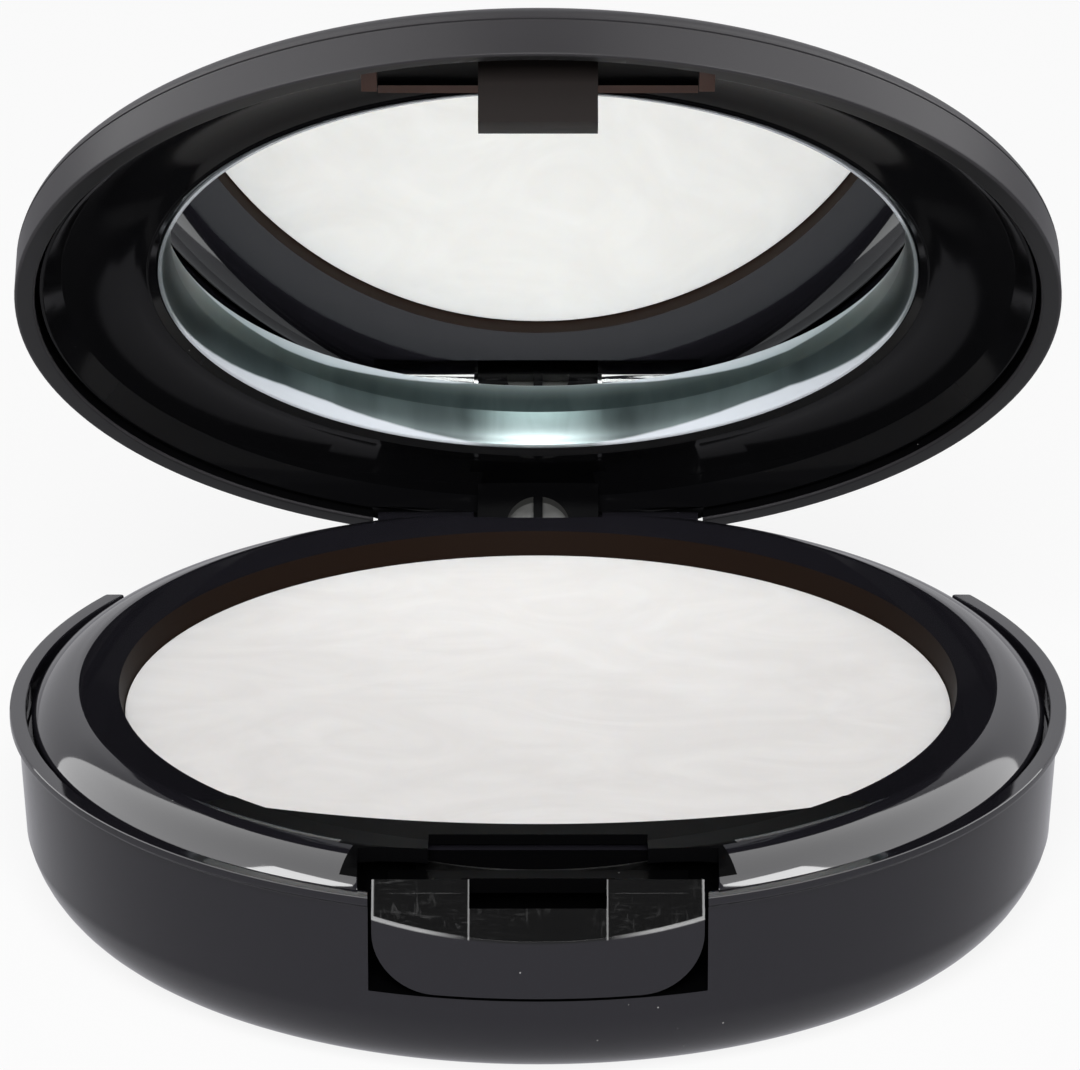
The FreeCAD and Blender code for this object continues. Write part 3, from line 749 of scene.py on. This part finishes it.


# %% [markdown]
# A finish is such a graph round one Principled shader. Patterns read the piece's own Object
# coordinates, so they stay put when the lid or the button moves. The painted light and shade on
# the lid's mirror and ring are placed as if the lid were shut, where heights and radii are easy
# to give.

# %% Finishes
class Finish(Graph):
    """A material under construction."""

    def __init__(self, name, roughness, **fixed):
        self.material = bpy.data.materials.new(name)
        self.material.use_nodes = True
        super().__init__(self.material.node_tree)
        self.shader = self.tree.nodes["Principled BSDF"]
        self.shader.inputs["Roughness"].default_value = roughness
        for socket, value in fixed.items():
            self.shader.inputs[socket.replace("_", " ")].default_value = value
        self.place = self.node("ShaderNodeTexCoord", output="Object")

    def noise(self, scale, detail=3.0, stretch=(1, 1, 1), distortion=0.0):
        where = self.node("ShaderNodeMapping", inputs={"Vector": self.place, "Scale": stretch})
        return self.node(
            "ShaderNodeTexNoise",
            inputs={"Vector": where, "Scale": scale, "Detail": detail, "Distortion": distortion},
        )

    def specks(self, scale, size):
        """One where a grain of dust lies, zero elsewhere."""
        cell = self.node("ShaderNodeTexVoronoi", inputs={"Vector": self.place, "Scale": scale})
        sparse = self.noise(scale * 0.13, 1.0)
        return (cell < size) * (sparse > 0.62)

    def band(self, value, low, high):
        """Rises from 0 at low to 1 at high."""
        ranged = {"Value": value, "From Min": low, "From Max": high}
        return self.node("ShaderNodeMapRange", {"clamp": True}, ranged)

    def axes(self):
        split = self.node("ShaderNodeSeparateXYZ", inputs={0: self.place})
        return [Value(self, out) for out in split.socket.node.outputs]

    def shut_axes(self):
        """Place of a lid piece's surface, across, along and up, as it is with the lid shut."""
        x, y, z = self.axes()
        lift = math.radians(OPEN_ANGLE)
        dy = y - HINGE_Y * MM
        dz = z - HINGE_Z * MM
        shut_y = dy * math.cos(lift) - dz * math.sin(lift) + HINGE_Y * MM
        shut_z = dy * math.sin(lift) + dz * math.cos(lift) + HINGE_Z * MM
        return x, shut_y, shut_z

    def reach(self, x, y):
        """Distance from the upright axis."""
        return self.node("ShaderNodeMath", {"operation": "SQRT"}, {0: x * x + y * y})

    def size_of(self, value):
        return self.node("ShaderNodeMath", {"operation": "ABSOLUTE"}, {0: value})

    def colour(self, value):
        self.link(value, self.shader.inputs["Base Color"])

    def rough(self, value):
        self.link(value, self.shader.inputs["Roughness"])

    def bump(self, height, distance, strength=1.0):
        inputs = {"Height": height, "Distance": distance, "Strength": strength}
        self.link(self.node("ShaderNodeBump", inputs=inputs), self.shader.inputs["Normal"])


def grey(value):
    return (value, value, value, 1)


# %% [markdown]
# The case is glossy black plastic straight from a polished mould. Pure black with a clean
# gloss looks like paint in a render, so faint smears vary the gloss, fine hairlines cross it,
# and a few grains of dust lie on it.

# %% Black plastics
BLACK = (0.0095, 0.009, 0.0118, 1)
DUST = (0.28, 0.28, 0.27, 1)


def gloss_black(name, base=BLACK, rough=0.05, sheen=0.5):
    finish = Finish(name, rough, IOR=1.49, Specular_IOR_Level=sheen)
    smear = finish.noise(55, 3, distortion=0.6)
    hairline = finish.noise(900, 2, (1, 0.05, 1))
    dust = finish.specks(620, 0.035)
    finish.colour(finish.mix(dust, base, DUST))
    marks = finish.band(smear, 0.45, 0.8) * 0.05 + finish.band(hairline, 0.66, 0.8) * 0.08
    finish.rough(rough + marks + dust * 0.5)
    finish.bump(finish.noise(120, 2) + dust * 0.6, 4e-6, 0.5)
    return finish


case_gloss = gloss_black("case gloss")
holder_gloss = gloss_black("holder gloss")
liner_gloss = gloss_black("liner gloss", (0.003, 0.003, 0.0034, 1), 0.08, 0.05)
hook_satin = gloss_black("hook satin", (0.0125, 0.0102, 0.0096, 1), 0.45, 0.1)
# Painted light: the well wall's brown stands for light shining through the thin wall.
backlit_brown_paint = gloss_black("painted backlit brown", (0.0078, 0.0038, 0.0021, 1), 0.5, 0.04)
# Painted shade: a dull black with almost no sheen, for recesses and corners where shade falls.
recess_shade_black = gloss_black("painted recess shade", (0.0015, 0.0015, 0.0017, 1), 0.3, 0.012)
# Painted shade: a darker tone for the underside of the lid's rim.
rim_underside_shade = gloss_black("painted rim underside shade", (0.009, 0.009, 0.0095, 1), 0.3, 0.15)
# Painted reflection: a warm brown for the ribs and the sill.
warm_reflection_paint = gloss_black("painted warm reflection", (0.04, 0.02, 0.0152, 1), 0.4, 0.06)
scoop_grey = gloss_black("scoop grey", (0.045, 0.045, 0.043, 1), 0.35, 0.3)
print("black plastics made")

# %% [markdown]
# The lid's outside is satin: a fine spark-eroded grain in the mould scatters the light. The
# button is glossy, but its ledge has been scraped by nails, so short scratches lie over it, and
# thin highlights are painted pale along its edges.

# %% Lid and button finishes
def lid_finish():
    finish = Finish("lid satin", 0.4, IOR=1.49, Specular_IOR_Level=0.18)
    grain = finish.noise(2600, 2)
    cloud = finish.noise(45, 4)
    dust = finish.specks(560, 0.06)
    dark, pale = (0.02, 0.019, 0.021, 1), (0.026, 0.0248, 0.027, 1)
    tone = finish.mix(finish.band(cloud, 0.3, 0.75), dark, pale)
    finish.colour(finish.mix(dust, tone, DUST))
    finish.rough(0.34 + finish.band(cloud, 0.3, 0.8) * 0.12 + dust * 0.3)
    finish.bump(grain * 0.5 + dust, 8e-6, 0.5)
    return finish


def button_finish():
    finish = Finish("button plastic", 0.06, IOR=1.49)
    x, y, z = finish.axes()
    rise = (y - LEDGE_FRONT.y * MM) * math.tan(math.radians(LEDGE_SLOPE))
    ledge = finish.band(z - LEDGE_FRONT.z * MM - rise, -0.25 * MM, -0.14 * MM)
    along = finish.noise(900, 4, (0.3, 1.8, 1.8), 0.8)
    across = finish.noise(1100, 4, (1.8, 0.3, 0.6), 0.9)
    fine = finish.noise(2400, 3, (0.5, 1.4, 1.4), 0.6)
    patch = finish.band(finish.noise(110, 2), 0.4, 0.65)
    scrape = finish.band(along, 0.6, 0.72) + finish.band(across, 0.6, 0.72)
    scrape = scrape + finish.band(fine, 0.58, 0.75) * 0.6
    scrape = finish.band(scrape, 0.0, 1.0) * ledge * patch
    width = finish.size_of(x)
    radius = finish.reach(x, y)
    side_highlight = finish.band(width, (BUTTON_HALF - 0.2) * MM, (BUTTON_HALF - 0.1) * MM)
    front_highlight = finish.band(radius, 37.69 * MM, 37.75 * MM) * finish.band(width, 5 * MM, 8 * MM)
    past_notch = finish.band(width, (NOTCH_HALF - 0.06) * MM, NOTCH_HALF * MM)
    near_notch = finish.band(width, (NOTCH_HALF + 0.12) * MM, (NOTCH_HALF + 0.06) * MM)
    notch_highlight = past_notch * near_notch
    # Painted highlights: thin pale lines along the ledge's side, front and notch edges.
    edge = finish.band(side_highlight + front_highlight + notch_highlight * 0.7, 0.0, 1.0) * ledge
    dust = finish.specks(700, 0.045)
    body = finish.mix(ledge, BLACK, grey(0.003))
    worn_and_highlit = finish.mix(scrape * 0.35, body, grey(0.09))
    worn_and_highlit = finish.mix(edge * 0.6, worn_and_highlit, grey(0.45))
    finish.colour(finish.mix(dust, worn_and_highlit, DUST))
    finish.rough(0.06 + ledge * 0.08 + scrape * 0.1)
    finish.bump(scrape + dust + finish.noise(130, 2) * 0.4, 3e-6, 0.4)
    return finish


lid_satin = lid_finish()
button_plastic = button_finish()
print("lid and button finishes made")

# %% [markdown]
# The cream is a warm white with a soft, slightly waxy gloss. Light goes a little way into it,
# so it has subsurface scattering, and the swirl left by pouring is both a change of tone and
# a very low relief.

# %% Cream finish
def cream_finish():
    finish = Finish(
        "cast cream", 0.42, IOR=1.44, Specular_IOR_Level=0.06,
        Subsurface_Weight=0.25, Subsurface_Scale=0.002, Subsurface_Radius=(1.0, 0.85, 0.7),
    )
    swirl = finish.noise(70, 3, (1, 1.8, 1), 2.4)
    fine = finish.noise(420, 3, (1, 1.5, 1), 0.8)
    tone = finish.band(swirl, 0.35, 0.7)
    finish.colour(finish.mix(tone, (0.85, 0.826, 0.808, 1), (0.9, 0.878, 0.86, 1)))
    finish.rough(0.36 + tone * 0.14)
    finish.bump(swirl + fine * 0.12, 1.2e-4, 0.35)
    return finish


cream_white = cream_finish()
print("cream made")

# %% [markdown]
# Silvered glass reflects nearly everything with a trace of green. It is modelled as a metal
# with almost no roughness, and fingerprints blur it by a hair. The ring is bright and slightly
# rough. What the real ring and the glass along the hinge mirror is a room that this scene does
# not have, so its darker and paler stretches are painted in: a painted darker edge of the glass
# along the hinge, the painted dark foot of the ring with painted streaks of reflection across it,
# and two painted pale crescents of highlight along its upper edge.

# %% Mirror finishes
def mirror_finish():
    finish = Finish("silvered glass", 0.0, Metallic=1.0)
    fingerprint = finish.noise(140, 4, distortion=0.5)
    clean = finish.mix(finish.noise(20, 1), (0.96, 0.985, 0.975, 1), (0.97, 0.99, 0.985, 1))
    x, y, _ = finish.shut_axes()
    # Painted reflection: the glass's edge toward the hinge is tinted darker.
    darkened_edge = finish.band(finish.reach(x, y), 22 * MM, 25 * MM) * finish.band(y, 0, 12 * MM)
    finish.colour(finish.mix(darkened_edge, clean, (0.52, 0.58, 0.57, 1)))
    finish.rough(finish.band(fingerprint, 0.6, 0.85) * 0.02)
    return finish


def ring_finish():
    finish = Finish("plated ring", 0.2)
    x, _, height = finish.shut_axes()
    width = finish.size_of(x)
    # The streaks in marks are painted reflections in the colour, and they also roughen and bump the
    # ring.
    marks = finish.noise(160, 4, (2.5, 0.6, 0.6), 0.6)
    rise = finish.band(height, MIRROR_Z * MM, (LID_Z + 2.8) * MM)
    spread = finish.band(width, 4 * MM, 16 * MM) * finish.band(width, 27 * MM, 19 * MM)
    # Painted highlight: two pale crescents along the ring's upper edge.
    crescent_highlight = finish.band(rise + spread * 0.42 + marks * 0.04, 1.0, 1.06)
    # Painted shade: a dark foot with streaks of reflection, rising to the brighter plate.
    deep = finish.mix(marks, (0.03, 0.042, 0.042, 1), (0.09, 0.115, 0.115, 1))
    shaded_plate = finish.mix(rise * rise * rise, deep, (0.2, 0.24, 0.24, 1))
    finish.colour(finish.mix(crescent_highlight, shaded_plate, (0.5, 0.53, 0.57, 1)))
    finish.link(1 - crescent_highlight, finish.shader.inputs["Metallic"])
    finish.rough(0.24 + marks * 0.14)
    finish.bump(marks, 3e-5, 0.35)
    return finish


silvered = mirror_finish()
plated = ring_finish()
print("mirror and ring made")

# %% [markdown]
# The inner materials hardly show: the tinplate pan, the foam pads, the bright steel pin and the
# blued leaf spring. They still get a finish of their own, for when the pieces are seen apart.

# %% Inner materials
def inner_finish(name, low, high, rough, metallic, scale, stretch):
    finish = Finish(name, rough, Metallic=metallic)
    grain = finish.noise(scale, 4, stretch)
    finish.colour(finish.mix(finish.band(grain, 0.3, 0.7), grey(low), grey(high)))
    finish.rough(rough + grain * 0.12)
    finish.bump(grain, 1e-5, 0.4)
    return finish


tinplate = inner_finish("tinplate", 0.55, 0.65, 0.3, 1.0, 300, (1, 6, 1))
foam = inner_finish("pad foam", 0.42, 0.6, 0.85, 0.0, 1500, (1, 1, 1))
steel = inner_finish("drawn steel", 0.48, 0.6, 0.25, 1.0, 700, (0.1, 3, 3))
blued = inner_finish("blued steel", 0.02, 0.05, 0.35, 1.0, 700, (0.1, 3, 3))
INNER = {
    "cream_pan": tinplate, "pan_pad": foam, "mirror_pad": foam,
    "button_spring": blued, "hinge_pin": steel,
}
for node, finish in INNER.items():
    for slot in frame["nodes"][node].material_slots:
        slot.material = finish.material
print("inner pieces finished", len(INNER))

# %% [markdown]
# Every modelled piece now gets its finish, rides on the body that carries it and stands for
# its solid.

# %% Dress the frame
def wear(piece, finish, body, slot, *nodes):
    """Gives a piece its finish, sets it on its body and lets it stand for CAD nodes."""
    piece.data.materials.clear()
    piece.data.materials.append(finish.material)
    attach(piece, body)
    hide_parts(*nodes)


wear(bowl, case_gloss, "base", "case", "base_bowl")
wear(holder, holder_gloss, "base", "holder", "pan_tray")
wear(cream, cream_white, "base", "cream", "cream_fill")
wear(button, button_plastic, "button", "button", "push_button")
wear(lid_outer, lid_satin, "lid", "lid", "lid_shell")
wear(liner, liner_gloss, "lid", "liner", "lid_frame")
wear(mirror, silvered, "lid", "mirror", "mirror_glass")
wear(ring, plated, "lid", "ring", "mirror_ring")
print("pieces dressed")

# %% [markdown]
# Some stretches of a moulding get painted shade or painted brown light, the hook is duller and
# the scoop paler. Each stretch is chosen by its place on the piece, from the centres of its
# faces, with the lid's pieces turned shut for the test.

# %% Painting by place
def paint_faces(piece, finish, chosen, swung=False):
    """Gives the faces whose centre, with the lid shut, passes a test another finish."""
    pin = Vector((0, HINGE_Y, HINGE_Z))
    shut = Matrix.Rotation(math.radians(OPEN_ANGLE), 3, "X")
    piece.data.materials.append(finish.material)
    index = len(piece.data.materials) - 1
    count = 0
    for face in piece.data.polygons:
        centre = face.center / MM
        if swung:
            centre = shut @ (centre - pin) + pin
        if chosen(centre):
            face.material_index = index
            count += 1
    print(piece.name, finish.material.name, count, "faces")


# %% [markdown]
# The well's wall is painted brown, for the light that a thin dark wall lets through. The latch's
# recess and the land before it lie in shade, and that shade is painted in as a dull black.

# %% Places on the base
def in_well(p):
    inside = math.hypot(p.x, p.y) < WELL_R - 0.02 and p.y > -WELL_FRONT_Y - 0.05
    return inside and p.z < LIP_Z + 1.3


def in_latch(p):
    front = abs(p.x) < BAY_OUT + 0.1 and p.y < -26.5
    return front and p.z > WINDOW_Z - 0.6 and math.hypot(p.x, p.y) < 36.3


def front_land(p):
    return p.y < -22 and p.z > LIP_Z + 0.5 and math.hypot(p.x, p.y) < 33.25


def behind_button(p):
    return p.y > -BUTTON_BACK_Y - 0.3


paint_faces(holder, backlit_brown_paint, in_well)
paint_faces(holder, recess_shade_black, lambda p: in_latch(p) or front_land(p))
paint_faces(bowl, recess_shade_black, in_latch)
paint_faces(button, recess_shade_black, behind_button)

# %% [markdown]
# In the lid the rim's inside, the relief round the hook and the hinge block's face lie in shade,
# which is painted in as a dull black, and the rim's underside gets a darker painted shade. The
# hook is duller than the liner, the ribs and the sill get a painted warm reflection, and the
# scoop in the hinge block is paler.

# %% Places on the lid
def inside_rim(p):
    return math.hypot(p.x, p.y) < LID_R - 0.3 and LID_Z + 0.3 < p.z < LID_Z + 3.0


def under_rim(p):
    return 36.9 < math.hypot(p.x, p.y) < LID_R - 0.2 and p.z < LID_Z + 0.1


def on_hook(p):
    return abs(p.x) < HOOK_HALF + 0.1 and p.y < -31 and p.z < LID_Z + 2.2


def front_dish(p):
    return abs(p.x) < RIB_OUT and p.y < -SILL_Y


def rib_or_sill(p):
    beside = RIB_IN - 0.1 < abs(p.x) < RIB_OUT + 0.1
    rib = beside and -35.4 < p.y < -32.3 and p.z < LID_Z + 2.5
    between = abs(p.x) < RIB_IN + 0.1
    sill = between and -29.6 < p.y < -SILL_Y + 0.1 and p.z < BEZEL_Z + 0.2
    return rib or sill


def hinge_face(p):
    return abs(p.x) < BLOCK_HALF + 0.1 and p.y > 30


def in_scoop(p):
    deep = HINGE_Y - 1.85 < p.y < HINGE_Y - 0.8
    return deep and abs(p.x) < SCOOP_R + 0.02 and p.z > HINGE_Z - 0.5


paint_faces(lid_outer, recess_shade_black, inside_rim, True)
paint_faces(lid_outer, rim_underside_shade, under_rim, True)
paint_faces(liner, recess_shade_black, front_dish, True)
paint_faces(liner, warm_reflection_paint, rib_or_sill, True)
paint_faces(liner, hook_satin, on_hook, True)
paint_faces(liner, recess_shade_black, hinge_face, True)
paint_faces(liner, scoop_grey, in_scoop, True)

# %% [markdown]
# The photograph is a cut-out on white. More light would only bleach the cream, so the floor
# glows for the camera, which lights nothing, and still keeps a soft shadow. In reflections it
# glows less, because a white floor all round would wash out the black case.

# %% Floor
FLOOR_GLOW = 0.88
MIRRORED_FLOOR = (0.47, 0.468, 0.5, 1)


def make_floor():
    deselect()
    bpy.ops.mesh.primitive_plane_add(size=6)
    floor = bpy.context.object
    floor.name = "floor"
    finish = Finish("pale floor", 0.9, Base_Color=grey(0.9), Specular_IOR_Level=0.1)
    camera_ray, glossy_ray = finish.ray("Camera"), finish.ray("Glossy")
    tone = finish.mix(glossy_ray, grey(1.0), MIRRORED_FLOOR)
    glow = finish.node("ShaderNodeEmission", inputs={"Color": tone, "Strength": 1.0})
    paint = Value(finish, finish.shader.outputs[0])
    share = (camera_ray + glossy_ray) * FLOOR_GLOW
    blend = finish.node("ShaderNodeMixShader", inputs={0: share, 1: paint, 2: glow})
    finish.link(blend, finish.tree.nodes["Material Output"].inputs["Surface"])
    floor.data.materials.append(finish.material)


make_floor()
print("floor made")

# %% [markdown]
# The case's shading is nearly all reflection. So the world is a white room with a dark ceiling,
# which shows fully in reflections and gives little light of its own.

# %% White room
ROOM_TONE = (0.96, 0.957, 1, 1)
ROOM_LIGHT = 0.2


def make_world():
    world = bpy.data.worlds.new("white room")
    world.use_nodes = True
    room = Graph(world.node_tree)
    direction = room.node("ShaderNodeTexCoord", output="Generated")
    up = room.node("ShaderNodeSeparateXYZ", inputs={0: direction}, output="Z")
    wall_to_ceiling = {"From Min": 0.45, "From Max": 0.85, "To Min": 0.9, "To Max": 0.08}
    fall = room.node("ShaderNodeMapRange", inputs={"Value": up, **wall_to_ceiling})
    level = ROOM_LIGHT + room.ray("Glossy") * (1 - ROOM_LIGHT)
    background = room.tree.nodes["Background"]
    background.inputs["Color"].default_value = ROOM_TONE
    room.link(fall * level, background.inputs["Strength"])
    bpy.context.scene.world = world


make_world()
print("room made")

# %% [markdown]
# A large front lamp shines in under the lid. Two side lamps and two small ones show only as
# reflections, and draw the bands and the short bright streaks along the holder's bevel.

# %% Lamps
LAMP_TARGET = Vector((0, 0, 0.02))


def soft_lamp(name, place, size, power, diffuse=True):
    """A square lamp that faces the compact."""
    deselect()
    bpy.ops.object.light_add(type="AREA", location=place)
    lamp = bpy.context.object
    lamp.name = name
    lamp.data.size = size
    lamp.data.energy = power
    lamp.visible_diffuse = diffuse
    lamp.rotation_euler = (LAMP_TARGET - Vector(place)).to_track_quat("-Z", "Y").to_euler()


soft_lamp("key", (0, -1.6, 1.2), size=0.8, power=49.0)
for side in (-1, 1):
    soft_lamp("side", (0.62 * side, 0.1, 0.62), size=1.3, power=17.0, diffuse=False)
    soft_lamp("strip", (0.55 * side, -0.32, 0.48), size=0.25, power=2.7, diffuse=False)
bpy.context.scene.view_settings.view_transform = "Standard"
print("lamps set")

# %% [markdown]
# The camera looks down at the compact from straight in front through a long lens, so the rings
# show as nearly true ellipses. Height, distance and lens come from fitting the rings' ellipses
# in the photograph, for a picture 1080 pixels wide.

# %% Camera
VIEW_HEIGHT_ANGLE = math.radians(21.19)
VIEW_DISTANCE = 0.7
VIEW_TARGET = Vector((0, 0, 0.0278))
FOCAL_PIXELS = 9662
PICTURE_WIDTH = 1080
OFF_CENTRE_PIXELS = 2


def make_camera():
    back = Vector((0, -math.cos(VIEW_HEIGHT_ANGLE), math.sin(VIEW_HEIGHT_ANGLE)))
    deselect()
    bpy.ops.object.camera_add(location=VIEW_TARGET + back * VIEW_DISTANCE)
    camera = bpy.context.object
    camera.rotation_euler = (math.pi / 2 - VIEW_HEIGHT_ANGLE, 0, 0)
    camera.data.sensor_fit = "HORIZONTAL"
    camera.data.sensor_width = 36
    camera.data.lens = FOCAL_PIXELS / PICTURE_WIDTH * 36
    camera.data.shift_x = OFF_CENTRE_PIXELS / PICTURE_WIDTH
    camera.data.clip_end = 20
    bpy.context.scene.camera = camera


make_camera()
print("camera set")
